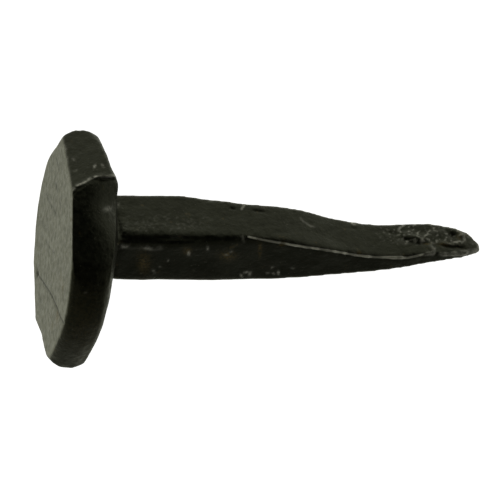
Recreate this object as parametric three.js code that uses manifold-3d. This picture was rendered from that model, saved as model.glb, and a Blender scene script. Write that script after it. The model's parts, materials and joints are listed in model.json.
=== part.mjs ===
// A small black rail spike, forged from one piece of steel: a wide, thick, uneven
// head and a square shank that is pinched into a thin, slanting, torn-off point.
//
// Millimetres, +Z up. The spike lies on the plane z = 0 as it comes to rest there,
// on the rim of its head and on its point, with its length along +X. The origin is
// on that plane, under the middle of the spike.
//
// The forging is modelled in its own axes first: X runs along the shank from the
// struck face to the point, Y runs across it and Z away from the resting side.

import * as THREE from 'three';
import { mergeVertices } from 'three/addons/utils/BufferGeometryUtils.js';
import Module from 'manifold-3d';

// ---- driving dimensions -------------------------------------------------------

// Head. Its outline is given in the struck face, as [across, away from the resting side].
const HEAD_OUTLINE_START = [3.20, 0.04];
const HEAD_OUTLINE_NEAR = [
  [2.60, 1.12], [1.60, 1.88], [0.30, 2.32], [-0.78, 2.30], [-1.80, 2.02], [-2.52, 1.34], [-3.20, 0.12],
];
const HEAD_OUTLINE_LOW_END = [[-3.08, -0.42], [-2.50, -1.18]];
const HEAD_OUTLINE_FLATS = [[-2.10, -2.08], [-0.75, -2.64], [-0.45, -2.82], [0.75, -2.82]];
const HEAD_OUTLINE_FAR = [[1.46, -2.60], [2.20, -2.12], [2.62, -1.62], [2.94, -0.70], [3.20, 0.04]];
const HEAD_OUTLINE_DIVISIONS = 4;
const HEAD_MIDDLE = [0, -0.25];
const HEAD_LEAN = THREE.MathUtils.degToRad(3.7);

// How the head swells behind the struck face and closes onto the shank, as sizes of
// the outline across the spike and away from its resting side. It swells most on the
// resting side, from SWELL_FROM, and closes onto the shank from HEAD_MIDDLE.
const HEAD_PROFILE = [
  { behind: 0.00, across: 1.00, away: 1.00 },
  { behind: 0.10, across: 1.04, away: 1.03 },
  { behind: 0.35, across: 1.08, away: 1.07 },
  { behind: 0.75, across: 1.08, away: 1.07 },
  { behind: 1.05, across: 1.04, away: 1.04 },
  { behind: 1.19, across: 0.96, away: 0.96 },
  { behind: 1.29, across: 0.85, away: 0.86 },
  { behind: 1.38, across: 0.72, away: 0.73 },
  { behind: 1.47, across: 0.58, away: 0.60 },
  { behind: 1.55, across: 0.48, away: 0.50 },
];
const SWELL_FROM = [0, 1];

// The flat flank beside the head's upper corner. It passes through two points of the
// struck face's outline and flares a little behind it.
const FLANK_FROM = new THREE.Vector2(3.20, 0.04);
const FLANK_TO = new THREE.Vector2(1.60, 1.85);
const FLANK_FLARE = THREE.MathUtils.degToRad(13);
const FLANK_CUTTER = 6;

// Shank: a rectangular section, given at places along it. `middle` is the section's
// middle across the spike and `lift` the same away from the resting side. `broad` is the
// width of the two broad sides, which stay inclined all the way, and `thick` is the
// distance between them: nearly square under the head, pinched together at the point.
const SHANK_STATIONS = [
  { at: 1.00, middle: 0.301, lift: 0.00, broad: 1.780, thick: 1.660 },
  { at: 1.97, middle: 0.301, lift: 0.00, broad: 1.780, thick: 1.650 },
  { at: 3.76, middle: 0.292, lift: 0.00, broad: 1.760, thick: 1.645 },
  { at: 5.00, middle: 0.218, lift: 0.00, broad: 1.530, thick: 1.670 },
  { at: 5.70, middle: 0.172, lift: 0.00, broad: 1.400, thick: 1.670 },
  { at: 6.60, middle: 0.147, lift: 0.00, broad: 1.430, thick: 1.540 },
  { at: 7.40, middle: 0.102, lift: 0.01, broad: 1.430, thick: 1.270 },
  { at: 8.20, middle: 0.047, lift: 0.02, broad: 1.360, thick: 0.965 },
  { at: 9.00, middle: 0.007, lift: 0.03, broad: 1.285, thick: 0.700 },
  { at: 9.80, middle: 0.006, lift: 0.05, broad: 1.290, thick: 0.490 },
  { at: 10.40, middle: 0.055, lift: 0.06, broad: 1.285, thick: 0.420 },
  { at: 11.00, middle: 0.119, lift: 0.08, broad: 1.210, thick: 0.375 },
  { at: 11.70, middle: 0.135, lift: 0.10, broad: 1.060, thick: 0.240 },
  { at: 12.20, middle: 0.112, lift: 0.11, broad: 0.820, thick: 0.180 },
  { at: 12.55, middle: 0.030, lift: 0.12, broad: 0.420, thick: 0.120 },
  { at: 12.70, middle: -0.010, lift: 0.12, broad: 0.200, thick: 0.090 },
];
const BROAD_SIDE_TILT = THREE.MathUtils.degToRad(47);
const SHANK_STEP = 0.18;
const SHANK_EDGE_ROUNDING = 0.07; // as a share of the side
const SHANK_EDGE_DIVISIONS = 4;

// Ends of the spike that can touch the ground: the head lies before the first
// distance along the shank and the point after the second.
const HEAD_END = 3;
const POINT_START = 9;

const BLACK_OXIDE = new THREE.MeshStandardMaterial({ color: 0x24241f, roughness: 0.5, metalness: 0.7 });
BLACK_OXIDE.name = 'black_oxide_steel';

const SHANK_START = SHANK_STATIONS[0].at;
const SHANK_END = SHANK_STATIONS[SHANK_STATIONS.length - 1].at;

// ---- solids and joining -------------------------------------------------------

const wasm = await Module();
wasm.setup();

// Closed three.js geometry to a solid that can be joined and cut.
function toSolid(geometry) {
  const bare = geometry.clone();
  bare.deleteAttribute('normal');
  bare.deleteAttribute('uv');
  const merged = mergeVertices(bare, 1e-5);
  return new wasm.Manifold(new wasm.Mesh({
    numProp: 3,
    vertProperties: new Float32Array(merged.attributes.position.array),
    triVerts: new Uint32Array(merged.index.array),
  }));
}

function toGeometry(solid) {
  const mesh = solid.getMesh();
  const geometry = new THREE.BufferGeometry();
  geometry.setAttribute('position', new THREE.BufferAttribute(mesh.vertProperties, 3));
  geometry.setIndex(new THREE.BufferAttribute(mesh.triVerts, 1));
  geometry.computeVertexNormals();
  return geometry;
}

// An extrusion runs along its own Z. This lays it along X, with the shape's own
// x across the spike and its y away from the resting side.
const LAY_ALONG_X = new THREE.Matrix4().makeBasis(
  new THREE.Vector3(0, 1, 0),
  new THREE.Vector3(0, 0, 1),
  new THREE.Vector3(1, 0, 0),
);

// Moves every vertex of a geometry to where `place(vertex)` puts it.
function reshape(geometry, place) {
  const position = geometry.attributes.position;
  const vertex = new THREE.Vector3();
  for (let i = 0; i < position.count; i += 1) {
    vertex.fromBufferAttribute(position, i);
    place(vertex);
    position.setXYZ(i, vertex.x, vertex.y, vertex.z);
  }
  return geometry;
}

// A smooth curve of several values through the rows of a table, by distance along X.
function smoothTable(distances, rows) {
  return new THREE.CubicInterpolant(distances, rows.flat(), rows[0].length, new Float64Array(rows[0].length));
}

// ---- head ---------------------------------------------------------------------

function headOutline() {
  const toPoint = ([x, y]) => new THREE.Vector2(x, y);
  const shape = new THREE.Shape();
  shape.moveTo(...HEAD_OUTLINE_START);
  shape.splineThru(HEAD_OUTLINE_NEAR.map(toPoint));
  for (const [x, y] of [...HEAD_OUTLINE_LOW_END, ...HEAD_OUTLINE_FLATS]) {
    shape.lineTo(x, y);
  }
  shape.splineThru(HEAD_OUTLINE_FAR.map(toPoint));
  return shape;
}

// The outline grows and shrinks along the profile, and its middle moves from the
// head's own middle onto the shank's as it closes.
function swollenHead() {
  const steps = HEAD_PROFILE.length - 1;
  const depth = HEAD_PROFILE[steps].behind;
  const smallest = HEAD_PROFILE[steps].across;
  const shankMiddle = [SHANK_STATIONS[0].middle, 0];
  const geometry = new THREE.ExtrudeGeometry(headOutline(), {
    depth,
    steps,
    curveSegments: HEAD_OUTLINE_DIVISIONS,
    bevelEnabled: false,
  });
  const resize = (value, size, axis) => {
    if (size >= 1) {
      return SWELL_FROM[axis] + (value - SWELL_FROM[axis]) * size;
    }
    const closing = (1 - size) / (1 - smallest);
    const middle = THREE.MathUtils.lerp(HEAD_MIDDLE[axis], shankMiddle[axis], closing);
    return middle + (value - HEAD_MIDDLE[axis]) * size;
  };
  return reshape(geometry, (vertex) => {
    const { behind, across, away } = HEAD_PROFILE[Math.round((vertex.z / depth) * steps)];
    vertex.x = resize(vertex.x, across, 0);
    vertex.y = resize(vertex.y, away, 1);
    vertex.z = behind;
  });
}

// A block that lies outside the flat flank, in the extrusion's own axes.
function flankCutter() {
  const along = FLANK_TO.clone().sub(FLANK_FROM).normalize();
  const edge = new THREE.Vector3(along.x, along.y, 0);
  const outward = new THREE.Vector3(along.y, -along.x, 0);
  if (outward.x < 0) {
    outward.negate();
  }
  const back = new THREE.Vector3(0, 0, 1);
  const normal = outward.clone().multiplyScalar(Math.cos(FLANK_FLARE));
  normal.addScaledVector(back, -Math.sin(FLANK_FLARE));
  const slope = new THREE.Vector3().crossVectors(normal, edge);
  const middle = new THREE.Vector3(
    (FLANK_FROM.x + FLANK_TO.x) / 2,
    (FLANK_FROM.y + FLANK_TO.y) / 2,
    0,
  );
  middle.addScaledVector(normal, FLANK_CUTTER / 2);
  const place = new THREE.Matrix4().makeBasis(normal, edge, slope).setPosition(middle);
  return new THREE.BoxGeometry(FLANK_CUTTER, FLANK_CUTTER, FLANK_CUTTER).applyMatrix4(place);
}

function headSolid() {
  const toSpike = new THREE.Matrix4().makeRotationZ(-HEAD_LEAN).multiply(LAY_ALONG_X);
  const body = swollenHead().applyMatrix4(toSpike);
  const cutter = flankCutter().applyMatrix4(toSpike);
  return toSolid(body).subtract(toSolid(cutter));
}

// ---- shank --------------------------------------------------------------------

// A unit square with each corner a little rounded. Its x runs along the broad sides and
// its y across them.
function shankSection() {
  const corners = [
    new THREE.Vector2(0.5, -0.5),
    new THREE.Vector2(0.5, 0.5),
    new THREE.Vector2(-0.5, 0.5),
    new THREE.Vector2(-0.5, -0.5),
  ];
  const shape = new THREE.Shape();
  corners.forEach((corner, i) => {
    const before = corners[(i + 3) % 4];
    const after = corners[(i + 1) % 4];
    const start = corner.clone().lerp(before, SHANK_EDGE_ROUNDING);
    const end = corner.clone().lerp(after, SHANK_EDGE_ROUNDING);
    if (i === 0) {
      shape.moveTo(start.x, start.y);
    } else {
      shape.lineTo(start.x, start.y);
    }
    shape.quadraticCurveTo(corner.x, corner.y, end.x, end.y);
  });
  shape.closePath();
  return shape;
}

// Each section is sized, then turned so that its broad sides are inclined.
function shankSolid() {
  const length = SHANK_END - SHANK_START;
  const geometry = new THREE.ExtrudeGeometry(shankSection(), {
    depth: length,
    steps: Math.round(length / SHANK_STEP),
    curveSegments: SHANK_EDGE_DIVISIONS,
    bevelEnabled: false,
  });
  const form = smoothTable(
    SHANK_STATIONS.map((station) => station.at),
    SHANK_STATIONS.map(({ middle, lift, broad, thick }) => [middle, lift, broad, thick]),
  );
  const normalAcross = Math.cos(BROAD_SIDE_TILT);
  const normalAway = Math.sin(BROAD_SIDE_TILT);
  reshape(geometry, (vertex) => {
    vertex.z += SHANK_START;
    const [middle, lift, broad, thick] = form.evaluate(vertex.z);
    const along = vertex.x * broad;
    const out = vertex.y * thick;
    vertex.x = middle + along * normalAway + out * normalAcross;
    vertex.y = lift - along * normalAcross + out * normalAway;
  });
  return toSolid(geometry.applyMatrix4(LAY_ALONG_X));
}

// ---- the spike, lying down ----------------------------------------------------

// The pitch, point down, at which the head and the point are equally low, so that
// the spike rests on both. Halves the interval between level and steep.
function restingPitch(geometry) {
  const position = geometry.attributes.position;
  const lowest = (pitch, isInEnd) => {
    let low = Infinity;
    for (let i = 0; i < position.count; i += 1) {
      if (isInEnd(position.getX(i))) {
        low = Math.min(low, position.getZ(i) * Math.cos(pitch) - position.getX(i) * Math.sin(pitch));
      }
    }
    return low;
  };
  let level = 0;
  let steep = Math.PI / 6;
  for (let halving = 0; halving < 30; halving += 1) {
    const pitch = (level + steep) / 2;
    const head = lowest(pitch, (x) => x < HEAD_END);
    const point = lowest(pitch, (x) => x > POINT_START);
    if (head < point) {
      level = pitch;
    } else {
      steep = pitch;
    }
  }
  return (level + steep) / 2;
}

const spike = new THREE.Mesh(toGeometry(headSolid().add(shankSolid())), BLACK_OXIDE);
spike.name = 'spike';

const railSpike = new THREE.Group();
railSpike.name = 'rail_spike';
railSpike.add(spike);
railSpike.rotation.y = restingPitch(spike.geometry);

const box = new THREE.Box3().setFromObject(railSpike, true);
railSpike.position.set(-(box.min.x + box.max.x) / 2, -(box.min.y + box.max.y) / 2, -box.min.z);

export default railSpike;
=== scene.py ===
"""A small black forged rail spike lying on a pale floor, seen from straight above.

The CAD spike gives the shape and the place. This script remeshes a copy of it finely,
works the forging's surface into that copy (the fold and the crack in the head, the groove
and the laps on the shank, the torn point and the hammered skin), and gives it a black
oxide finish.

Three sets of axes are used, all in millimetres until the mesh is finished:
  row    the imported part's own frame, +Z up, so that row X and Y are what is seen from above
  spike  X from the struck face along the shank, Y across it, Z away from the resting side
  face   two coordinates in the struck face: across the spike, and away from the resting side
Upper and lower sides and edges are those of the view from above: upper is towards row +Y.
"""

import json
import math

import bpy
import numpy as np
from mathutils import Matrix, Vector

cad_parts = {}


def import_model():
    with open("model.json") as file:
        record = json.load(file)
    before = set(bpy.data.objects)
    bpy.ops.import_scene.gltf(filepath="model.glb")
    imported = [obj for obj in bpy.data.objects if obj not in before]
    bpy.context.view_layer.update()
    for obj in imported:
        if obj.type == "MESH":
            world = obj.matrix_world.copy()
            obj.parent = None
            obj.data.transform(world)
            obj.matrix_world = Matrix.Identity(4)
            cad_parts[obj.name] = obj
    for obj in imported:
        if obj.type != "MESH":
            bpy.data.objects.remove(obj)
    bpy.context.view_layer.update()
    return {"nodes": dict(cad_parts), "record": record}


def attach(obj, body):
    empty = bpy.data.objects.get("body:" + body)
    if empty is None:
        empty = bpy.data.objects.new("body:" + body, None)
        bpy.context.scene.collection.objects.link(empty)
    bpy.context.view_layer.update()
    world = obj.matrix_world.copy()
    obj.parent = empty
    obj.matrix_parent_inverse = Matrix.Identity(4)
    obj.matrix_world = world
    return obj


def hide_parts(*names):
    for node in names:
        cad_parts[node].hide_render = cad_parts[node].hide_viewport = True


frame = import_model()

MM = 0.001
NODE = "spike"
BODY = "root"
SLOT = "black_oxide_steel"

# ---- the spike's own axes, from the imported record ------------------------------

face_mount = next(m for m in frame["record"]["mounts"] if m["name"] == "struck_face")
face_point = Vector(face_mount["pos_m"]) / MM
face_normal = Vector(face_mount["axis"]).normalized()
pitch = math.atan2(face_normal.z, -face_normal.x)
head_lean = math.asin(face_normal.y)
SPIKE_TO_ROW = Matrix.Translation(face_point) @ Matrix.Rotation(pitch, 4, "Y")
ROW_TO_SPIKE = SPIKE_TO_ROW.inverted()
SPIKE_TO_FACE = Matrix.Rotation(head_lean, 4, "Z")

# ---- small tools for arrays of points -----------------------------------------


def transformed(points, matrix):
    """Points, one per row, moved by a 4 x 4 matrix."""
    m = np.array(matrix)
    return points @ m[:3, :3].T + m[:3, 3]


def turned(directions, matrix):
    """Directions, one per row, turned by a 4 x 4 matrix."""
    return directions @ np.array(matrix)[:3, :3].T


def smoothstep(low, high, value):
    """0 up to low and 1 from high on, or the other way round where high is the lower."""
    t = np.clip((value - low) / (high - low), 0.0, 1.0)
    return t * t * (3.0 - 2.0 * t)


def bell(distance, width):
    """1 at no distance, falling smoothly to nothing a few widths away."""
    return np.exp(-((distance / width) ** 2))


class Noise:
    """Smooth repeatable noise in three dimensions, about -1 to 1."""

    CELLS = 256
    GAIN = 1.7
    LAYER_SHIFT = 17.3

    def __init__(self, seed):
        rng = np.random.default_rng(seed)
        self.order = rng.permutation(self.CELLS)
        gradients = rng.normal(size=(self.CELLS, 3))
        self.gradients = gradients / np.linalg.norm(gradients, axis=1)[:, None]

    def __call__(self, points, wavelength):
        p = points / wavelength
        cell = np.floor(p).astype(int)
        inside = p - cell
        fade = inside**3 * (inside * (inside * 6 - 15) + 10)
        total = np.zeros(len(p))
        for corner in np.ndindex(2, 2, 2):
            c = cell + corner
            h = self.order[c[:, 0] % self.CELLS]
            h = self.order[(h + c[:, 1]) % self.CELLS]
            h = self.order[(h + c[:, 2]) % self.CELLS]
            away = inside - corner
            weight = np.prod(np.where(corner, fade, 1 - fade), axis=1)
            total += weight * np.einsum("ij,ij->i", self.gradients[h], away)
        return total * self.GAIN

    def layered(self, points, wavelength, layers):
        """Noise with finer layers on it, each half as long and half as high as the last."""
        total = np.zeros(len(points))
        for layer in range(layers):
            shifted = points + self.LAYER_SHIFT * layer
            total += self(shifted, wavelength / 2**layer) / 2**layer
        return total


def path_distance(xy, path):
    """Distance of each point from a bent line, how far along it (0 to 1), and on which
    side of it the point lies (positive to the left of its direction)."""
    path = np.asarray(path, float)
    lengths = np.linalg.norm(np.diff(path, axis=0), axis=1)
    starts = np.concatenate([[0], np.cumsum(lengths)])
    best = np.full(len(xy), np.inf)
    along = np.zeros(len(xy))
    side = np.zeros(len(xy))
    for i, length in enumerate(lengths):
        direction = (path[i + 1] - path[i]) / length
        offset = xy - path[i]
        t = np.clip(offset @ direction, 0, length)
        gap = offset - t[:, None] * direction
        distance = np.linalg.norm(gap, axis=1)
        nearer = distance < best
        best = np.where(nearer, distance, best)
        along = np.where(nearer, (starts[i] + t) / starts[-1], along)
        turn = direction[0] * offset[:, 1] - direction[1] * offset[:, 0]
        side = np.where(nearer, np.sign(turn), side)
    return best, along, side


# ---- the remeshed forging ------------------------------------------------------

# The mesh's spacing. A finer one would soon be more than 200,000 triangles.
VOXEL = 0.0425
# Rounds of smoothing that take the voxels' steps out of the surface.
SMOOTHING = 6


def remeshed_spike():
    """A fine, even mesh of the CAD spike, in the spike's own axes and millimetres."""
    source = frame["nodes"][NODE].data.copy()
    source.transform(ROW_TO_SPIKE @ Matrix.Scale(1 / MM, 4))
    piece = bpy.data.objects.new("spike_blank", source)
    bpy.context.scene.collection.objects.link(piece)
    remesh = piece.modifiers.new("remesh", "REMESH")
    remesh.mode = "VOXEL"
    remesh.voxel_size = VOXEL
    graph = bpy.context.evaluated_depsgraph_get()
    mesh = bpy.data.meshes.new_from_object(piece.evaluated_get(graph))
    bpy.data.objects.remove(piece)
    return mesh


class Surface:
    """The mesh's points as arrays, with what is needed to smooth and to push them."""

    def __init__(self, mesh):
        self.mesh = mesh
        count = len(mesh.vertices)
        co = np.empty(count * 3)
        mesh.vertices.foreach_get("co", co)
        self.points = co.reshape(-1, 3)
        edges = np.empty(len(mesh.edges) * 2, int)
        mesh.edges.foreach_get("vertices", edges)
        self.edges = edges.reshape(-1, 2)
        self.degree = np.bincount(self.edges.ravel(), minlength=count)

    def neighbour_mean(self, values):
        """For each point, the mean of its neighbours' values, which may be vectors."""
        values = values.reshape(len(values), -1)
        total = np.zeros_like(values, float)
        a, b = self.edges.T
        for column in range(values.shape[1]):
            total[:, column] += np.bincount(a, values[b, column], len(values))
            total[:, column] += np.bincount(b, values[a, column], len(values))
        mean = total / self.degree[:, None]
        return mean if mean.shape[1] > 1 else mean[:, 0]

    def smooth(self, rounds, amount=0.5, where=1.0):
        """Moves points towards their neighbours' mean, by a part of the way each round."""
        for _ in range(rounds):
            step = self.neighbour_mean(self.points) - self.points
            self.points = self.points + step * amount * np.reshape(where, (-1, 1))

    def normals(self):
        self.mesh.vertices.foreach_set("co", self.points.ravel())
        self.mesh.update()
        normals = np.empty(len(self.points) * 3)
        self.mesh.vertices.foreach_get("normal", normals)
        return normals.reshape(-1, 3)

    def push(self, amount):
        """Moves every point along its own normal, by that many millimetres."""
        self.points = self.points + self.normals() * amount[:, None]


surface = Surface(remeshed_spike())
surface.smooth(SMOOTHING)

# ---- where everything is -------------------------------------------------------

# Where each region starts to count, and where it counts fully. The first two are parts of
# a unit normal: how far it points up, and how far out of the struck face. The other three
# are distances behind the struck face.
SEEN_NORMAL = (0.0, 0.25)
FACE_NORMAL = (0.80, 0.97)
FACE_DEPTH = (0.12, 0.05)
SHANK_START = (1.55, 1.80)
POINT_START = (9.4, 10.6)

# `top` is where each point is seen from above, in row X and Y. `behind`, `across` and
# `away` are its distance behind the struck face and its place in that face.
start_points = surface.points.copy()
start_normals = surface.normals()
top = transformed(start_points, SPIKE_TO_ROW)[:, :2]
seen = smoothstep(*SEEN_NORMAL, turned(start_normals, SPIKE_TO_ROW)[:, 2])
behind, across, away = transformed(start_points, SPIKE_TO_FACE).T
in_face = np.column_stack([across, away])
on_face = smoothstep(*FACE_NORMAL, -turned(start_normals, SPIKE_TO_FACE)[:, 0])
on_face *= smoothstep(*FACE_DEPTH, behind)
on_shank = smoothstep(*SHANK_START, start_points[:, 0])
on_head = (1.0 - on_shank) * (1.0 - on_face)
at_point = smoothstep(*POINT_START, start_points[:, 0])

grain = Noise(11)
dents = Noise(23)
chips = Noise(37)


def uneven(noise, amount, wavelength):
    """A factor of about 1 that changes from place to place, by up to the amount."""
    return 1.0 + amount * noise(start_points, wavelength)


def waves(noise, points, height, wavelength, layers):
    """Unevenness of that height, whose longest waves have that length."""
    return height * noise.layered(points, wavelength, layers)


def broken(low, high, wavelength, layers=1):
    """1 in some places and 0 in others, for marks that show only here and there: the two
    noise levels between which they come in, and the length of the noise's waves."""
    return smoothstep(low, high, chips.layered(start_points, wavelength, layers))


class Line:
    """A worked line on the side that is seen from above: a groove, burr, lap or scratch.
    It fades in and out over the given parts of its length."""

    def __init__(self, path, fade_in, fade_out):
        self.gap, self.along, self.side = path_distance(top, path)
        self.fade = smoothstep(0.0, fade_in, self.along) * smoothstep(0.0, fade_out, 1.0 - self.along)

    def strip(self, width, offset=0.0):
        """1 on the line, or at an offset to its left, falling to nothing beside it."""
        return bell(self.gap * self.side - offset, width) * self.fade * seen

    def relief(self, height, width, offset=0.0):
        """The line's height where it is raised, or below zero where it is cut in."""
        return height * self.strip(width, offset)


def patch(x, y, half_length, half_width, slope=0.0):
    """1 in the middle of an oval seen from above, falling smoothly to nothing round it."""
    along = (top[:, 0] - x) * math.cos(slope) + (top[:, 1] - y) * math.sin(slope)
    beside = (top[:, 1] - y) * math.cos(slope) - (top[:, 0] - x) * math.sin(slope)
    return bell(np.hypot(along / half_length, beside / half_width), 1.0) * seen


# ---- the shank's fullness -----------------------------------------------------

# Smoothing takes a little off the shank's four edges: a swell puts it back. The shank also
# bellies out along the middle of its lower edge.
SWELL = 0.050
BELLY = 0.050
BELLY_X = -2.2
BELLY_HALF_LENGTH = 1.6
BELLY_BELOW = (-0.30, -0.75)

belly = bell(top[:, 0] - BELLY_X, BELLY_HALF_LENGTH) * smoothstep(*BELLY_BELOW, top[:, 1])
surface.push((SWELL + BELLY * belly) * on_shank)

# ---- head ----------------------------------------------------------------------

# The fold where the flat flank meets the round side, seen from above, and its step's width.
FOLD = [
    (-5.29, 1.62), (-5.18, 1.79), (-4.99, 1.88), (-4.83, 1.99), (-4.66, 2.07), (-4.31, 2.09),
    (-3.98, 2.06),
]
FOLD_STEP = 0.05
# The round side's height across the spike: level, then falling evenly to the fold.
SIDE_TOP = 2.34
SIDE_FALLS_FROM = -0.45
SIDE_SLOPE = 0.26
# Right beside the fold it is sunk further.
TRENCH_DEPTH = 0.06
TRENCH_WIDTH = 0.12
# It rolls over towards the shank, sooner beside the fold than away from it. The last line
# says where, across the spike, that changes.
ROLL_FROM_AT_FOLD = 0.22
ROLL_FROM = 0.56
ROLL_CURVE_AT_FOLD = 0.42
ROLL_CURVE = 0.33
TOWARDS_FOLD = (-0.2, 1.5)
# Where the round side is, across the spike and away from the resting side.
SIDE_ACROSS = (-1.8, -0.5)
SIDE_AWAY = (0.6, 1.1)
# The fold's end stands out over the shank: where it is in the face's axes, its half sizes
# there, how far it stands out, and from where to where behind the face that grows.
CORNER = (1.95, 1.35)
CORNER_SIZE = (0.42, 0.60)
CORNER_REACH = 0.15
CORNER_BEHIND = (0.45, 1.15)
# A burr runs along the fold, just outside it, and the fold's raw edge is softened.
BURR_HEIGHT = 0.028
BURR_WIDTH = 0.040
BURR_OFFSET = 0.035
BURR_UNEVENNESS = (0.7, 0.13)
FOLD_SOFTENING = 3
FOLD_SOFT_WIDTH = 0.10
# A crack in the struck face, in the face's own axes. It starts from a nick in the edge.
CRACK = [(-0.76, -2.20), (-1.10, -1.02), (-1.39, -0.11), (-1.74, 0.71), (-1.98, 1.13), (-2.18, 1.67)]
CRACK_WIDTH = 0.038
CRACK_DEPTH = 0.030
CRACK_UNEVENNESS = (0.5, 0.3)
NICK_WIDTH = 0.13
NICK_DEPTH = 0.060
NICK_LENGTH = 0.3
# Scratches in the struck face, in the same axes.
FACE_SCRATCHES = [
    [(1.62, -1.75), (1.25, -0.95), (0.90, 0.05)],
    [(1.95, -0.60), (1.40, 0.20), (1.15, 0.35)],
    [(0.75, -1.90), (0.40, -1.20)],
    [(2.60, -0.60), (2.25, -0.10)],
    [(0.20, -1.30), (-0.10, -0.50), (-0.15, 0.00)],
    [(-1.35, -1.70), (-1.60, -1.35)],
]
FACE_SCRATCH_WIDTH = 0.045
FACE_SCRATCH_DEPTH = 0.008
FACE_SCRATCH_BREAKS = (-0.5, 0.4, 0.3)


def roll_shoulder():
    """Lowers the head's round side towards the shank, and beside the fold."""
    fold_y = np.interp(top[:, 0], *np.transpose(FOLD))
    below_fold = smoothstep(0.0, FOLD_STEP, fold_y - top[:, 1])
    past = np.maximum(across - SIDE_FALLS_FROM, 0.0)
    towards_fold = smoothstep(*TOWARDS_FOLD, across)
    roll_from = ROLL_FROM + (ROLL_FROM_AT_FOLD - ROLL_FROM) * towards_fold
    roll_curve = ROLL_CURVE + (ROLL_CURVE_AT_FOLD - ROLL_CURVE) * towards_fold
    rolled = roll_curve * np.maximum(behind - roll_from, 0.0) ** 2
    trench = TRENCH_DEPTH * bell(fold_y - top[:, 1], TRENCH_WIDTH)
    limit = SIDE_TOP - SIDE_SLOPE * past - rolled - trench
    reach = smoothstep(*SIDE_ACROSS, across) * smoothstep(*SIDE_AWAY, away) * (1.0 - on_shank)
    surface.points[:, 2] -= np.maximum(away - limit, 0.0) * reach * below_fold


def draw_out_corner():
    """Pulls the head's back edge out where the fold meets it."""
    near = bell(np.hypot((across - CORNER[0]) / CORNER_SIZE[0], (away - CORNER[1]) / CORNER_SIZE[1]), 1.0)
    surface.points[:, 0] += CORNER_REACH * near * smoothstep(*CORNER_BEHIND, behind) * (1.0 - on_shank)


def raise_burr():
    """Raises an uneven burr beside the fold and softens both."""
    height = BURR_HEIGHT * uneven(chips, *BURR_UNEVENNESS)
    surface.points[:, 2] += fold.strip(BURR_WIDTH, BURR_OFFSET) * height * on_head
    surface.smooth(FOLD_SOFTENING, where=fold.strip(FOLD_SOFT_WIDTH) * on_head)


def scratched_face():
    """How deeply the struck face is scratched, from 0 to 1."""
    marks = [bell(path_distance(in_face, path)[0], FACE_SCRATCH_WIDTH) for path in FACE_SCRATCHES]
    return np.maximum.reduce(marks) * broken(*FACE_SCRATCH_BREAKS) * on_face


roll_shoulder()
draw_out_corner()
fold = Line(FOLD, fade_in=0.02, fade_out=0.03)
raise_burr()
crack_gap = path_distance(in_face, CRACK)[0]
crack = bell(crack_gap, CRACK_WIDTH * uneven(chips, *CRACK_UNEVENNESS)) * on_face
nick_across, nick_away = CRACK[0]
nick = bell(np.hypot(across - nick_across, away - nick_away), NICK_WIDTH)
nick *= smoothstep(NICK_LENGTH, 0.0, behind)
face_marks = scratched_face()
surface.push(-CRACK_DEPTH * crack - NICK_DEPTH * nick - FACE_SCRATCH_DEPTH * face_marks)

# ---- shank ---------------------------------------------------------------------

# The sharp arris, from where it starts to where the torn point begins.
ARRIS = [
    (-0.28, 0.34), (0.23, 0.26), (0.72, 0.19), (1.49, 0.06), (2.22, -0.06), (2.90, -0.17),
    (3.45, -0.23), (3.96, -0.25), (4.41, -0.24), (4.64, -0.20), (4.94, -0.14),
]
# From its start to the head the ridge between the two seen facets is blunt: where that
# begins, where the ridge runs, how far to its sides, and rounds of smoothing.
BLUNT_TOWARDS_HEAD = (-0.20, -0.45)
BLUNT_Y = 0.27
BLUNT_WIDTH = 0.20
BLUNT_SOFTENING = 14
# The groove beside the blunt ridge, and the bruised lip on its lower side.
GROOVE = [(-3.95, 0.32), (-3.15, 0.27), (-2.45, 0.23), (-1.75, 0.24), (-1.05, 0.23), (-0.60, 0.26)]
BRUISED_LIP = [(-3.95, 0.12), (-3.40, 0.11), (-3.10, 0.07), (-2.65, 0.08)]
# Short laps along the shank's upper edge, each with its depth.
EDGE_LAPS = [
    ([(-1.60, 1.36), (-1.35, 1.38), (-1.08, 1.34)], 0.025),
    ([(-1.00, 1.30), (-0.86, 1.26)], 0.050),
    ([(-0.80, 1.15), (-0.60, 1.11)], 0.060),
    ([(-0.22, 1.09), (0.05, 1.05), (0.30, 1.03)], 0.045),
    ([(1.02, 1.04), (1.16, 1.02)], 0.045),
    ([(1.30, 1.02), (1.62, 0.95)], 0.030),
    ([(2.70, 0.60), (2.95, 0.54)], 0.040),
]
# A raised scratch that crosses the upper edge, and a curved one beyond it, with heights.
SCRATCHES = [
    ([(-0.47, 1.07), (-0.40, 1.18), (-0.34, 1.27), (-0.34, 1.36)], 0.030),
    ([(1.22, 0.90), (1.36, 0.74), (1.58, 0.62), (1.72, 0.60)], 0.009),
]
SCRATCH_WIDTH = 0.030
# What is worked along the lines: height, width and, for a lip, its offset to the left. A
# lap's heights are parts of its own depth.
GROOVE_CUT = (-0.058, 0.095)
GROOVE_LIP = (0.015, 0.12, 0.24)
BRUISE = (0.010, 0.06)
ARRIS_RIDGE = (0.012, 0.030)
LAP_CUT = (-0.35, 0.030)
LAP_LIP = (0.25, 0.045, 0.08)
# How uneven the groove's depth is, and how ragged all the other marks are.
GROOVE_UNEVENNESS = (0.5, 0.4)
RAGGEDNESS = (0.5, 0.22)

arris = Line(ARRIS, fade_in=0.01, fade_out=0.03)
groove = Line(GROOVE, fade_in=0.01, fade_out=0.4)
bruised_lip = Line(BRUISED_LIP, fade_in=0.05, fade_out=0.3)
laps = [(Line(path, fade_in=0.3, fade_out=0.3), depth) for path, depth in EDGE_LAPS]
scratches = [(Line(path, fade_in=0.15, fade_out=0.2), height) for path, height in SCRATCHES]
ragged = uneven(chips, *RAGGEDNESS)


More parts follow.
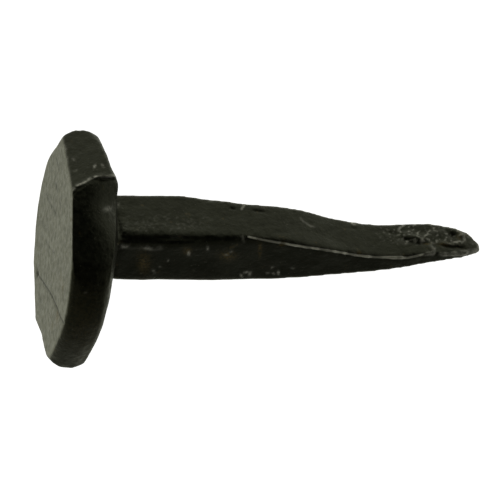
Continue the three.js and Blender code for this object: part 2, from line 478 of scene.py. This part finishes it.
def blunt_ridge():
    """Rounds the ridge between the shank's two seen facets, from the head to the arris."""
    blunt = smoothstep(*BLUNT_TOWARDS_HEAD, top[:, 0]) * bell(top[:, 1] - BLUNT_Y, BLUNT_WIDTH)
    surface.smooth(BLUNT_SOFTENING, where=blunt * on_shank * seen)


def work_shank():
    """Cuts the groove and the laps, and raises the lips, the arris and the scratches."""
    work = groove.relief(*GROOVE_CUT) * uneven(dents, *GROOVE_UNEVENNESS)
    work += groove.relief(*GROOVE_LIP)
    work += bruised_lip.relief(*BRUISE) * ragged
    work += arris.relief(*ARRIS_RIDGE) * ragged
    for lap, depth in laps:
        work += depth * (lap.relief(*LAP_CUT) * ragged + lap.relief(*LAP_LIP))
    for scratch, height in scratches:
        work += scratch.relief(height, SCRATCH_WIDTH)
    surface.push(work * on_shank)


blunt_ridge()
work_shank()

# ---- point ---------------------------------------------------------------------

# The upper edge stands out a little just before the tip.
SHOULDER_X = 6.20
SHOULDER_HALF_LENGTH = 0.13
SHOULDER_HEIGHT = 0.06
SHOULDER_ABOVE = (0.05, 0.30)
# Laps, where the torn metal overhangs: each path, its depth and its half width.
POINT_LAPS = [
    ([(3.62, 0.47), (3.88, 0.44), (4.20, 0.41)], 0.016, 0.050),
    ([(4.09, 0.29), (4.24, 0.28), (4.45, 0.22), (4.64, 0.17), (4.84, 0.14), (5.03, 0.13)], 0.052, 0.032),
    ([(5.32, 0.11), (5.50, 0.04), (5.71, 0.02), (5.86, 0.03), (6.22, -0.03)], 0.036, 0.030),
    ([(5.60, 0.18), (5.74, 0.19), (5.92, 0.22)], 0.040, 0.034),
]
# Ridges of torn metal: each path, its height and its half width.
POINT_RIDGES = [
    ([(4.00, 0.17), (4.20, 0.16), (4.45, 0.12)], 0.010, 0.055),
    ([(5.16, 0.16), (5.08, 0.06), (5.14, -0.02), (5.24, -0.07)], 0.060, 0.055),
    ([(4.94, -0.14), (5.10, -0.12), (5.26, -0.08)], 0.030, 0.032),
    ([(5.26, -0.08), (5.41, -0.15), (5.60, -0.14), (6.01, -0.13), (6.22, -0.07)], 0.030, 0.032),
    ([(5.05, 0.44), (5.30, 0.50), (5.55, 0.50)], 0.015, 0.070),
    ([(5.92, 0.33), (6.02, 0.36), (6.10, 0.31)], 0.050, 0.045),
]
# Rounded lumps and hollows: place, half length, half width, slope and height.
POINT_LUMPS = [
    (4.62, 0.31, 0.38, 0.085, -0.28, 0.055),
    (4.98, 0.34, 0.12, 0.090, 0.0, 0.035),
    (5.74, 0.37, 0.15, 0.100, -0.35, -0.085),
    (5.54, 0.12, 0.17, 0.050, -0.15, 0.045),
    (6.14, 0.09, 0.20, 0.090, -0.20, 0.030),
    (6.22, 0.36, 0.05, 0.060, 0.0, -0.090),
]
# The torn metal is rough all over: height, length of the longest waves, and layers.
TORN_SKIN = (0.009, 0.20, 2)

point_laps = [(Line(path, fade_in=0.45, fade_out=0.30), *size) for path, *size in POINT_LAPS]
point_ridges = [(Line(path, fade_in=0.12, fade_out=0.12), *size) for path, *size in POINT_RIDGES]


def draw_out_shoulder():
    """Pulls out the point's upper edge just before the tip."""
    shoulder = bell(top[:, 0] - SHOULDER_X, SHOULDER_HALF_LENGTH) * smoothstep(*SHOULDER_ABOVE, top[:, 1])
    surface.points[:, 1] += SHOULDER_HEIGHT * shoulder * at_point


def tear_point():
    """Works the laps, ridges, lumps and hollows of the torn metal into the point."""
    work = waves(chips, start_points, *TORN_SKIN) * at_point
    for lap, depth, width in point_laps:
        work += lap.relief(-depth, width)
    for ridge, height, width in point_ridges:
        work += ridge.relief(height, width)
    for *place_and_size, height in POINT_LUMPS:
        work += height * patch(*place_and_size)
    surface.push(work)


draw_out_shoulder()
tear_point()

# ---- rolled and hammered skin --------------------------------------------------

# Unevenness of the skin: its height, the length of its longest waves, and its layers.
HOLLOWS = (0.022, 1.3, 2)
DIMPLES = (0.007, 0.33, 2)
FINE_GRAIN = (0.0030, 0.11, 1)
PITS = (0.007, 0.16, 2)
# The dimples use another part of the noise than the hollows, and the fine grain is drawn
# out along the spike.
DIMPLES_SHIFT = 40.0
GRAIN_STRETCH = (1.0, 1.6, 1.6)
# The struck face stays nearly flat: this part of the unevenness is left out there.
FACE_FLATNESS = 0.93
# A last light smoothing, by this part of the way, takes off single points that stand out.
LAST_SMOOTHING = 0.3
# The pitted band on the groove's upper side: its lower and upper borders, and its end.
PITTED_LOWER = (0.38, 0.50)
PITTED_UPPER = (1.12, 0.80)
PITTED_TOWARDS_HEAD = (-0.9, -2.2)

pitted = smoothstep(*PITTED_LOWER, top[:, 1]) * smoothstep(*PITTED_UPPER, top[:, 1])
pitted *= smoothstep(*PITTED_TOWARDS_HEAD, top[:, 0]) * on_shank * seen


def hammer_skin():
    """Makes the whole surface uneven, the struck face least."""
    work = waves(dents, start_points, *HOLLOWS)
    work += waves(dents, start_points + DIMPLES_SHIFT, *DIMPLES)
    work += waves(grain, start_points * GRAIN_STRETCH, *FINE_GRAIN)
    work *= 1.0 - FACE_FLATNESS * on_face
    work += waves(grain, start_points, *PITS) * pitted
    surface.push(work)
    surface.smooth(1, LAST_SMOOTHING)


def rest_on_floor():
    """Lifts to the floor whatever reaches below it."""
    lying = transformed(surface.points, SPIKE_TO_ROW)
    lying[:, 2] = np.maximum(lying[:, 2], 0.0)
    surface.points = transformed(lying, ROW_TO_SPIKE)


hammer_skin()
rest_on_floor()

# ---- where the finish is worn, where highlights are painted, and what is on it ---

# How worn each kind of place is, from 0 for the black finish to 1 for bare steel. Along the
# fold and at one spot on the head's round side, the bare steel is also a painted highlight.
# Scratches and ridges are as worn as they are high, so theirs are for each millimetre.
EDGE_WEAR = 0.35
FOLD_WEAR_AND_HIGHLIGHT = 0.8
BRUISE_WEAR = 0.30
SCRATCH_WEAR = 18.0
RIDGE_WEAR = 4.0
PITTED_WEAR = 0.08
LOBE_WEAR = 0.42
# How sharply an edge stands out where it starts to wear, and where it is fully worn. The
# arris has a line of its own, so its sharpness isn't counted this near to it. Sharpness is
# averaged over neighbours in a few rounds.
SHARP = (0.040, 0.120)
SHARP_ROUNDS = 2
ARRIS_CLEARANCE = 0.15
# Widths of the worn strips; the fold's is also a painted highlight. The fold's has an offset
# too, and a ridge's is a part of its own.
FOLD_BRIGHT = (0.036, 0.022)
BRUISE_BRIGHT = 0.060
SCRATCH_BRIGHT = 0.028
RIDGE_BRIGHT = 0.7
# Wear comes in broken patches: noise levels, length of the waves, and layers.
FOLD_BREAKS = (-0.5, 0.6, 0.12)
BRUISE_BREAKS = (-0.4, 0.7, 0.30, 3)
SPOT_BREAKS = (-0.9, 0.2, 0.07)
SPECKLE = (0.10, 0.75, 0.10)
# The torn lobe is the upper side of the point, from here on.
LOBE_ABOVE = (0.05, 0.20)
# Along the arris, worn steel that is also a painted highlight: its least strength, how much
# more it is at its brightest, and its patches.
GLINT_LEAST = 0.55
GLINT_MORE = 0.9
GLINT_BREAKS = (-0.3, 0.5, 0.25)
# Bright nicks and stuck grit, and a painted highlight on the head's round side, seen from
# above: place, half width and strength. They are ovals, and each is turned from the one before.
BRIGHT_SPOTS_AND_HIGHLIGHT = [
    (-1.97, -0.09, 0.042, 1.00), (2.81, 0.71, 0.048, 1.00), (4.30, 0.66, 0.035, 0.60),
    (-2.57, -0.30, 0.028, 0.25), (-2.99, -0.59, 0.045, 0.30), (-2.80, -0.47, 0.030, 0.20),
    (-5.57, 2.98, 0.040, 0.25), (-5.55, 2.77, 0.045, 0.25), (-5.28, 2.58, 0.045, 0.22),
    (-5.22, 2.27, 0.045, 0.22), (-4.68, 2.40, 0.040, 0.70), (-4.46, 2.42, 0.045, 0.35),
    (0.33, -0.66, 0.032, 0.45), (0.46, -0.50, 0.030, 0.40), (0.64, -0.66, 0.040, 0.60),
    (0.50, -0.68, 0.032, 0.50), (-0.32, -0.63, 0.045, 0.50), (-0.20, -0.68, 0.050, 0.40),
    (-0.45, -0.72, 0.040, 0.35), (-0.88, -0.12, 0.040, 0.30), (-0.75, -0.04, 0.035, 0.35),
    # The last spot on this line and the first on the next are a painted highlight on the head's round
    # side, not nicks.
    (-1.42, 0.05, 0.040, 0.35), (1.05, -0.52, 0.030, 0.20), (-4.18, 1.16, 0.090, 0.30),
    (-4.02, 1.24, 0.060, 0.25), (-0.40, 0.30, 0.050, 0.30), (-4.90, -1.25, 0.040, 0.15),
]
SPOT_LENGTH = 0.7
SPOT_WIDTH = 1.3
SPOT_TURN = 0.9
# Rusty and dusty patches, seen from above: place, half length and half width.
RUST_PATCHES = [
    (-3.27, -0.33, 0.16, 0.26), (-2.00, -0.02, 0.10, 0.10),
    (0.10, 0.02, 0.04, 0.20), (5.94, 0.36, 0.06, 0.10), (6.13, 0.36, 0.05, 0.06),
    (5.50, 0.12, 0.18, 0.05), (-0.85, -0.15, 0.20, 0.12), (5.00, 0.13, 0.12, 0.03),
]
# A thin bloom of rust on the head's lower rim, in the same way, and how strong it is.
RIM_BLOOM = (-4.95, -1.90, 0.70, 1.10)
RIM_BLOOM_STRENGTH = 0.22
# Rusty spots in the struck face, in the face's own axes: place and size.
FACE_RUST = [(-1.16, 1.32, 0.16), (-2.00, 0.86, 0.20), (-0.90, 0.95, 0.10), (-2.25, 0.30, 0.10)]


def convexity():
    """How sharply the surface stands out at each point, from the mean of its neighbours."""
    inward = surface.points - surface.neighbour_mean(surface.points)
    sharp = np.einsum("ij,ij->i", inward, surface.normals())
    for _ in range(SHARP_ROUNDS):
        sharp = surface.neighbour_mean(sharp)
    return sharp / VOXEL


def bright_spots_and_highlight():
    """The wear of each bright nick or piece of grit, and of the painted highlight on the head's
    round side, one after another.
    """
    spots_broken = broken(*SPOT_BREAKS)
    for i, (x, y, size, strength) in enumerate(BRIGHT_SPOTS_AND_HIGHLIGHT):
        yield strength * patch(x, y, SPOT_LENGTH * size, SPOT_WIDTH * size, SPOT_TURN * i) * spots_broken


def wear_and_highlight_mask():
    """How far the finish is worn to bare steel: on burrs, lips, spots and sharp edges. Along
    the fold's burr and at one spot on the head it is also a painted highlight.
    """
    on_lobe = at_point * seen * smoothstep(*LOBE_ABOVE, top[:, 1])
    worn_and_highlit = [
        EDGE_WEAR * smoothstep(*SHARP, convexity()) * (1.0 - arris.strip(ARRIS_CLEARANCE)),
        # The fold's burr: worn steel, and a painted highlight along it.
        FOLD_WEAR_AND_HIGHLIGHT * fold.strip(*FOLD_BRIGHT) * broken(*FOLD_BREAKS),
        BRUISE_WEAR * bruised_lip.strip(BRUISE_BRIGHT) * broken(*BRUISE_BREAKS),
        broken(*SPECKLE) * np.maximum(PITTED_WEAR * pitted, LOBE_WEAR * on_lobe),
        *bright_spots_and_highlight(),
    ]
    worn_and_highlit += [SCRATCH_WEAR * scratch.relief(height, SCRATCH_BRIGHT) for scratch, height in scratches]
    worn_and_highlit += [
        RIDGE_WEAR * ridge.relief(height, RIDGE_BRIGHT * width) * ragged
        for ridge, height, width in point_ridges
    ]
    return np.clip(np.maximum.reduce(worn_and_highlit), 0.0, 1.0)


def rust_mask():
    """How rusty each place is, in patches, on the head's lower rim and in face spots."""
    rust = sum(patch(*place_and_size) for place_and_size in RUST_PATCHES)
    rust = rust + RIM_BLOOM_STRENGTH * patch(*RIM_BLOOM) * on_head
    for spot_across, spot_away, size in FACE_RUST:
        rust = rust + bell(np.hypot(across - spot_across, away - spot_away), size) * on_face
    return np.clip(rust, 0.0, 1.0)


masks = {
    "wear_and_highlight": wear_and_highlight_mask(),
    "face": on_face,
    "crack": np.clip(nick + face_marks, 0.0, 1.0),
    "rust": rust_mask(),
    # Along the arris: worn steel, and a painted highlight in patches.
    "arris_wear_and_highlight": arris.fade * seen * (GLINT_LEAST + GLINT_MORE * broken(*GLINT_BREAKS)),
    # Distances from two lines that the material draws finer than the mesh could. The
    # crack's is at least 1, so out of reach, wherever the surface isn't the struck face.
    "arris_gap": np.clip(arris.gap * arris.side, -1.0, 1.0),
    "crack_gap": np.clip(crack_gap, 0.0, 1.0) + 1.0 - on_face,
}

# ---- finished piece ------------------------------------------------------------


def finished_piece():
    """The worked mesh as an object, in the row's own axes and metres, with its masks."""
    surface.mesh.vertices.foreach_set("co", surface.points.ravel())
    mesh = surface.mesh
    mesh.transform(Matrix.Scale(MM, 4) @ SPIKE_TO_ROW)
    mesh.name = "spike_forging"
    mesh.polygons.foreach_set("use_smooth", [True] * len(mesh.polygons))
    for name, values in masks.items():
        attribute = mesh.attributes.new(name, "FLOAT", "POINT")
        attribute.data.foreach_set("value", values.astype(np.float32))
    mesh.update()
    piece = bpy.data.objects.new("spike_forging", mesh)
    bpy.context.scene.collection.objects.link(piece)
    return piece


spike = finished_piece()
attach(spike, BODY)
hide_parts(NODE)

# ---- material ------------------------------------------------------------------


class Nodes:
    """Short calls for building a tree of shader nodes."""

    def __init__(self, tree):
        self.tree = tree

    def link(self, source, target):
        """Feeds a socket from another socket, or sets it to a plain value."""
        if isinstance(source, (int, float, tuple)):
            target.default_value = source
        else:
            self.tree.links.new(source, target)

    def coordinates(self, kind):
        return self.tree.nodes.new("ShaderNodeTexCoord").outputs[kind]

    def millimetres(self):
        """The piece's own coordinates in millimetres."""
        node = self.tree.nodes.new("ShaderNodeMapping")
        self.link((1 / MM, 1 / MM, 1 / MM), node.inputs["Scale"])
        self.link(self.coordinates("Object"), node.inputs["Vector"])
        return node.outputs["Vector"]

    def attribute(self, name):
        node = self.tree.nodes.new("ShaderNodeAttribute")
        node.attribute_name = name
        return node.outputs["Fac"]

    def noise(self, vector, scale, detail, roughness=0.55):
        node = self.tree.nodes.new("ShaderNodeTexNoise")
        self.link(vector, node.inputs["Vector"])
        self.link(scale, node.inputs["Scale"])
        self.link(detail, node.inputs["Detail"])
        self.link(roughness, node.inputs["Roughness"])
        return node.outputs["Fac"]

    def ramp(self, value, low, high, out_low=0.0, out_high=1.0):
        """Goes smoothly from out_low to out_high while the value goes from low to high."""
        node = self.tree.nodes.new("ShaderNodeMapRange")
        node.interpolation_type = "SMOOTHSTEP"
        self.link(value, node.inputs["Value"])
        self.link(low, node.inputs["From Min"])
        self.link(high, node.inputs["From Max"])
        self.link(out_low, node.inputs["To Min"])
        self.link(out_high, node.inputs["To Max"])
        return node.outputs["Result"]

    def pattern(self, vector, scale, detail, low, high, most):
        """Patches of a noise: none below its low level, and at their most above the high one."""
        return self.ramp(self.noise(vector, scale, detail), low, high, 0.0, most)

    def math(self, operation, *values):
        node = self.tree.nodes.new("ShaderNodeMath")
        node.operation = operation
        for value, socket in zip(values, node.inputs):
            self.link(value, socket)
        return node.outputs["Value"]

    def mix(self, amount, a, b):
        """Colour a where amount is 0, colour b where it is 1."""
        node = self.tree.nodes.new("ShaderNodeMix")
        node.data_type = "RGBA"
        self.link(amount, node.inputs["Factor"])
        for socket, colour in ((node.inputs[6], a), (node.inputs[7], b)):
            self.link((*colour, 1) if isinstance(colour, tuple) else colour, socket)
        return node.outputs[2]

    def line(self, gap, half_widths):
        """1 on a line, from the attribute that holds the distance to it, and 0 beside it.
        The two half widths are where it starts and where it has finished fading."""
        distance = self.math("ABSOLUTE", self.attribute(gap))
        return self.ramp(distance, *half_widths, 1.0, 0.0)

    def bump(self, height, distance, strength, normal=None):
        """A normal for bumps of that many millimetres, on top of another normal if given."""
        node = self.tree.nodes.new("ShaderNodeBump")
        self.link(distance * MM, node.inputs["Distance"])
        self.link(strength, node.inputs["Strength"])
        self.link(height, node.inputs["Height"])
        if normal is not None:
            self.link(normal, node.inputs["Normal"])
        return node.outputs["Normal"]


# Colours: the black finish, the steel, which also paints highlights, the struck face, and
# what lies on them.
OXIDE = (0.0042, 0.0045, 0.0028)
OXIDE_PALE = (0.0130, 0.0136, 0.0095)
BARE_STEEL_AND_HIGHLIGHT = (0.85, 0.83, 0.72)
STRUCK = (0.155, 0.155, 0.116)
STRUCK_DARK = (0.080, 0.080, 0.058)
RUST = (0.075, 0.050, 0.012)
DUST = (0.10, 0.10, 0.075)
OLIVE_GLOSS = (1.0, 1.03, 0.74, 1.0)
# Half widths in millimetres: where a line starts to fade, and where it has gone.
# The arris line is worn steel and a painted highlight.
ARRIS_LINE = (0.009, 0.028)
CRACK_LINE = (0.016, 0.048)
CRACK_DARKNESS = 0.95
WORN_METALLIC = 0.4
# Patterns of the finish: waves in a millimetre, detail, the noise levels where the pattern
# starts and is full, and how strong it is then.
CLOUDS = (1.6, 3, 0.40, 0.68, 0.6)
SPECKS = (12, 2, 0.66, 0.74, 0.45)
STAINS = (3.3, 4, 0.64, 0.74, 0.5)
# Plain noises: waves in a millimetre, detail and, for the struck face, roughness.
MOTTLE_NOISE = (4.5, 5, 0.65)
GRAIN_NOISE = (14, 4)
GLOSS_NOISE = (6, 3)
COARSE_NOISE = (7, 3)
# What is made of them: two noise levels, and what the first and the second give. Where
# that isn't said, it is 0 and 1.
MOTTLE = (0.36, 0.62)
PALE_GRAIN = (0.5, 0.75, 0.0, 0.6)
RUST_GRAIN = (0.35, 0.6)
WEAR_GRAIN = (0.30, 0.55, 0.45, 1.0)
ROUGHNESS = (0.3, 0.7, 0.30, 0.50)
# Bumps that are too small for the mesh: height in millimetres, and strength.
COARSE_BUMP = (0.020, 0.5)
FINE_BUMP = (0.010, 0.6)


def oxide_colour(n, place, fine):
    """The black finish: clouded, grained and dusted with pale specks."""
    colour = n.mix(n.pattern(place, *CLOUDS), OXIDE, OXIDE_PALE)
    colour = n.mix(n.ramp(fine, *PALE_GRAIN), colour, OXIDE_PALE)
    return n.mix(n.pattern(place, *SPECKS), colour, DUST)


def struck_colour(n, place):
    """The struck face: paler and mottled."""
    mottle = n.ramp(n.noise(place, *MOTTLE_NOISE), *MOTTLE)
    return n.mix(mottle, STRUCK_DARK, STRUCK)


def bare_and_highlit_share(n, fine):
    """How much bare steel shows, by the wear mask and along the arris. Along the arris, the fold
    and at one spot on the head this bare steel is also a painted highlight.
    """
    worn_and_highlit = n.math("MULTIPLY", n.attribute("wear_and_highlight"), n.ramp(fine, *WEAR_GRAIN))
    arris_bare_and_highlit = n.math("MULTIPLY", n.attribute("arris_wear_and_highlight"), n.line("arris_gap", ARRIS_LINE))
    return n.math("MAXIMUM", worn_and_highlit, arris_bare_and_highlit)


def black_oxide():
    """Black oxide on steel, worn, stained and rusty by the piece's masks. The bare steel is also
    where highlights are painted.
    """
    material = bpy.data.materials.new(SLOT)
    material.use_nodes = True
    shader = material.node_tree.nodes["Principled BSDF"]
    n = Nodes(material.node_tree)
    place = n.millimetres()
    fine = n.noise(place, *GRAIN_NOISE)
    worn_and_highlit = bare_and_highlit_share(n, fine)
    rust = n.math("MULTIPLY", n.attribute("rust"), n.ramp(fine, *RUST_GRAIN))
    rust = n.math("MAXIMUM", n.pattern(place, *STAINS), rust)
    crack = n.math("MAXIMUM", n.attribute("crack"), n.line("crack_gap", CRACK_LINE))

    # Bare steel where worn, and painted highlights in the same colour.
    colour = n.mix(worn_and_highlit, oxide_colour(n, place, fine), BARE_STEEL_AND_HIGHLIGHT)
    colour = n.mix(n.attribute("face"), colour, struck_colour(n, place))
    colour = n.mix(rust, colour, RUST)
    colour = n.mix(n.math("MULTIPLY", crack, CRACK_DARKNESS), colour, OXIDE)
    n.link(colour, shader.inputs["Base Color"])
    n.link(n.math("MULTIPLY", worn_and_highlit, WORN_METALLIC), shader.inputs["Metallic"])
    n.link(n.ramp(n.noise(place, *GLOSS_NOISE), *ROUGHNESS), shader.inputs["Roughness"])
    shader.inputs["Specular Tint"].default_value = OLIVE_GLOSS
    coarse = n.bump(n.noise(place, *COARSE_NOISE), *COARSE_BUMP)
    n.link(n.bump(fine, *FINE_BUMP, coarse), shader.inputs["Normal"])
    return material


spike.data.materials.clear()
spike.data.materials.append(black_oxide())

# ---- floor, light and camera ---------------------------------------------------

FLOOR_SIZE = 4.0
FLOOR_COLOUR = (0.9, 0.9, 0.9, 1)
FLOOR_ROUGHNESS = 0.9
FLOOR_GLOW = 1.1
# What the picture takes in: its width, at a height above the floor, and its middle.
VIEW_WIDTH = 14.53 * MM
VIEW_HEIGHT = 2.5 * MM
VIEW_MIDDLE = Vector((-0.183, -0.025, 0)) * MM
# A long lens, in millimetres like its sensor, and the nearest and farthest it sees in metres.
LENS = 600
SENSOR = 36
NEAREST = 0.001
FARTHEST = 10
# The pale backdrop that only the camera sees, and the colour of the light from the sky.
WHITE = (1, 1, 1, 1)
BACKDROP = 0.9
SKY_COLOUR = (1.0, 1.02, 0.86, 1.0)
# The sky's brightness at the sides, and how much more it is towards +Y (and less towards
# -Y). It is for a direction's own Y, from -1 to 1.
SKY_AT_SIDES = 0.240
SKY_TOWARDS_Y = 0.185
# More light from behind the head, by a direction's X, and from below the horizon, by its
# Z: where it starts, where it is full, none and how much there is.
SKY_BEHIND_HEAD = (-0.1, -0.9, 0.0, 0.10)
SKY_BELOW = (-0.28, -0.65, 0.0, 0.20)
# The sky overhead is dark: fully inside one angle from this direction, not at all outside
# the other.
DARK_TOWARDS = (0.32, 0.28, 0.90)
DARK_INNER = math.radians(34)
DARK_OUTER = math.radians(64)


def floor():
    """A large pale floor that glows a little and isn't seen in reflections."""
    half = FLOOR_SIZE / 2
    mesh = bpy.data.meshes.new("floor")
    corners = [(-half, -half, 0), (half, -half, 0), (half, half, 0), (-half, half, 0)]
    mesh.from_pydata(corners, [], [(0, 1, 2, 3)])
    plane = bpy.data.objects.new("floor", mesh)
    bpy.context.scene.collection.objects.link(plane)
    paint = bpy.data.materials.new("floor_white")
    paint.use_nodes = True
    shader = paint.node_tree.nodes["Principled BSDF"]
    shader.inputs["Base Color"].default_value = FLOOR_COLOUR
    shader.inputs["Roughness"].default_value = FLOOR_ROUGHNESS
    shader.inputs["Emission Color"].default_value = WHITE
    shader.inputs["Emission Strength"].default_value = FLOOR_GLOW
    mesh.materials.append(paint)
    plane.visible_glossy = False


def camera():
    """A long lens, straight above the spike."""
    data = bpy.data.cameras.new("camera")
    data.sensor_width = SENSOR
    data.lens = LENS
    data.clip_start = NEAREST
    data.clip_end = FARTHEST
    eye = bpy.data.objects.new("camera", data)
    distance = VIEW_WIDTH * LENS / SENSOR
    eye.location = VIEW_MIDDLE + Vector((0, 0, distance + VIEW_HEIGHT))
    bpy.context.scene.collection.objects.link(eye)
    bpy.context.scene.camera = eye


def sky_strength(n):
    """How bright the light is from each direction."""
    direction = n.coordinates("Generated")
    split = n.tree.nodes.new("ShaderNodeSeparateXYZ")
    n.link(direction, split.inputs["Vector"])
    x, y, z = split.outputs
    light = n.math("MULTIPLY_ADD", y, SKY_TOWARDS_Y, SKY_AT_SIDES)
    light = n.math("ADD", light, n.ramp(x, *SKY_BEHIND_HEAD))
    light = n.math("ADD", light, n.ramp(z, *SKY_BELOW))

    nearness = n.tree.nodes.new("ShaderNodeVectorMath")
    nearness.operation = "DOT_PRODUCT"
    n.link(direction, nearness.inputs[0])
    nearness.inputs[1].default_value = Vector(DARK_TOWARDS).normalized()
    angles = (math.cos(DARK_OUTER), math.cos(DARK_INNER))
    return n.math("MULTIPLY", n.ramp(nearness.outputs["Value"], *angles, 1.0, 0.0), light)


def world():
    """Soft light from all round the horizon and from below, brighter from +Y and from
    behind the head, and none from overhead. The camera sees a plain pale backdrop."""
    sky = bpy.data.worlds.new("studio")
    sky.use_nodes = True
    n = Nodes(sky.node_tree)
    light = n.tree.nodes["Background"]
    n.link(SKY_COLOUR, light.inputs["Color"])
    n.link(sky_strength(n), light.inputs["Strength"])
    backdrop = n.tree.nodes.new("ShaderNodeBackground")
    n.link(WHITE, backdrop.inputs["Color"])
    n.link(BACKDROP, backdrop.inputs["Strength"])
    choose = n.tree.nodes.new("ShaderNodeMixShader")
    n.link(n.tree.nodes.new("ShaderNodeLightPath").outputs["Is Camera Ray"], choose.inputs[0])
    n.link(light.outputs["Background"], choose.inputs[1])
    n.link(backdrop.outputs["Background"], choose.inputs[2])
    n.link(choose.outputs["Shader"], n.tree.nodes["World Output"].inputs["Surface"])
    bpy.context.scene.world = sky


floor()
world()
camera()
bpy.context.scene.view_settings.view_transform = "Standard"
